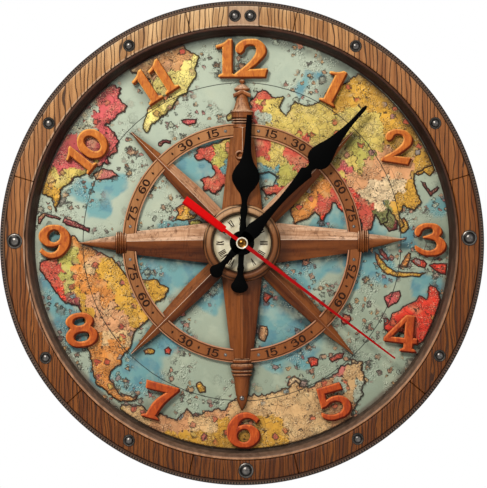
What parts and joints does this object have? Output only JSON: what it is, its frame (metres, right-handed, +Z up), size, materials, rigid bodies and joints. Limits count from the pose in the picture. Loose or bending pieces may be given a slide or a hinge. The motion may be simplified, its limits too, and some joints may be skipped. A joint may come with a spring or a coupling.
{
  "type": "map wall clock",
  "caption": "Round wooden wall clock with a relief world map, carved compass rose, raised numerals, riveted rim and a quartz movement behind the dial.",
  "frame": {"origin": "on the wall plane, on the axis of the hands", "axes": "+Z up towards 12, +X towards 3, +Y into the wall; the dial faces -Y"},
  "size_m": [0.3, 0.0364, 0.3],
  "materials": {
    "rim_wood": "oiled, dark grain",
    "carved_wood": "satin",
    "ring_wood": "satin",
    "back_wood": "unfinished",
    "dark_iron": "dark satin",
    "sea_paint": "printed matte",
    "land_yellow": "printed matte",
    "land_cream": "printed matte",
    "land_orange": "printed matte",
    "land_red": "printed matte",
    "numeral_paint": "satin paint",
    "dial_cream": "printed matte",
    "hand_black": "satin black",
    "hand_red": "satin red",
    "case_plastic": "moulded",
    "gear_plastic": "moulded",
    "brass": "turned",
    "steel": "satin",
    "magnet_grey": "satin",
    "copper": "enamelled wire",
    "board_green": "varnished",
    "battery_wrap": "printed wrap"
  },
  "bodies": {
    "clock_case": {"back_ring": "back_wood", "outer_hoop": "dark_iron", "rim_stave_1": "rim_wood", "rim_stave_2": "rim_wood", "rim_stave_3": "rim_wood", "rim_stave_4": "rim_wood", "rim_stave_5": "rim_wood", "rim_stave_6": "rim_wood", "rim_stave_7": "rim_wood", "rim_stave_8": "rim_wood", "inner_moulding": "carved_wood", "dial_board": "sea_paint", "land_north_america": "land_yellow", "land_greenland": "land_yellow", "land_south_america": "land_orange", "land_old_world": "land_yellow", "land_australia": "land_red", "land_antarctica": "land_cream", "numeral_1": "numeral_paint", "numeral_2": "numeral_paint", "numeral_3": "numeral_paint", "numeral_4": "numeral_paint", "numeral_5": "numeral_paint", "numeral_6": "numeral_paint", "numeral_7": "numeral_paint", "numeral_8": "numeral_paint", "numeral_9": "numeral_paint", "numeral_10": "numeral_paint", "numeral_11": "numeral_paint", "numeral_12": "numeral_paint", "arm_north": "carved_wood", "arm_east": "carved_wood", "arm_south": "carved_wood", "arm_west": "carved_wood", "point_ne": "carved_wood", "point_se": "carved_wood", "point_sw": "carved_wood", "point_nw": "carved_wood", "compass_ring": "ring_wood", "hub_ring": "carved_wood", "hub_dial": "dial_cream", "case_front": "case_plastic", "case_rear": "case_plastic", "fixing_nut": "brass", "coil": "copper", "stator": "steel", "circuit_board": "board_green", "battery": "battery_wrap", "wall_hanger": "steel"},
    "second": {"second_wheel": "gear_plastic", "second_hand": "hand_red"},
    "third": {"third_wheel": "gear_plastic"},
    "centre": {"centre_wheel": "gear_plastic"},
    "step": {"step_wheel": "gear_plastic"},
    "rotor_body": {"rotor": "magnet_grey"},
    "minute": {"cannon_pinion": "gear_plastic", "minute_hand": "hand_black"},
    "motion": {"motion_wheel": "gear_plastic"},
    "hour": {"hour_wheel": "gear_plastic", "hour_hand": "hand_black"}
  },
  "joints": [
    {"name": "second_spin", "type": "hinge", "parent": "clock_case", "child": "second", "pos_m": [0, 0, 0], "axis": [0, 1, 0], "continuous": true},
    {"name": "third_spin", "type": "hinge", "parent": "clock_case", "child": "third", "pos_m": [-0.00721, 0, 0.00721], "axis": [0, 1, 0], "continuous": true},
    {"name": "centre_spin", "type": "hinge", "parent": "clock_case", "child": "centre", "pos_m": [0, 0, 0], "axis": [0, 1, 0], "continuous": true},
    {"name": "step_spin", "type": "hinge", "parent": "clock_case", "child": "step", "pos_m": [0.00175, 0, 0.00822], "axis": [0, 1, 0], "continuous": true},
    {"name": "rotor_spin", "type": "hinge", "parent": "clock_case", "child": "rotor_body", "pos_m": [0.00726, 0, 0.01284], "axis": [0, 1, 0], "continuous": true},
    {"name": "minute_spin", "type": "hinge", "parent": "clock_case", "child": "minute", "pos_m": [0, 0, 0], "axis": [0, 1, 0], "continuous": true},
    {"name": "motion_spin", "type": "hinge", "parent": "clock_case", "child": "motion", "pos_m": [0.01034, 0, 0.00376], "axis": [0, 1, 0], "continuous": true},
    {"name": "hour_spin", "type": "hinge", "parent": "clock_case", "child": "hour", "pos_m": [0, 0, 0], "axis": [0, 1, 0], "continuous": true}
  ],
  "couplings": [
    {"joint": "third_spin", "follows": "second_spin", "ratio": -0.13333},
    {"joint": "centre_spin", "follows": "second_spin", "ratio": 0.016667},
    {"joint": "step_spin", "follows": "second_spin", "ratio": -6},
    {"joint": "rotor_spin", "follows": "second_spin", "ratio": 30},
    {"joint": "motion_spin", "follows": "minute_spin", "ratio": -0.33333},
    {"joint": "hour_spin", "follows": "minute_spin", "ratio": 0.083333}
  ]
}
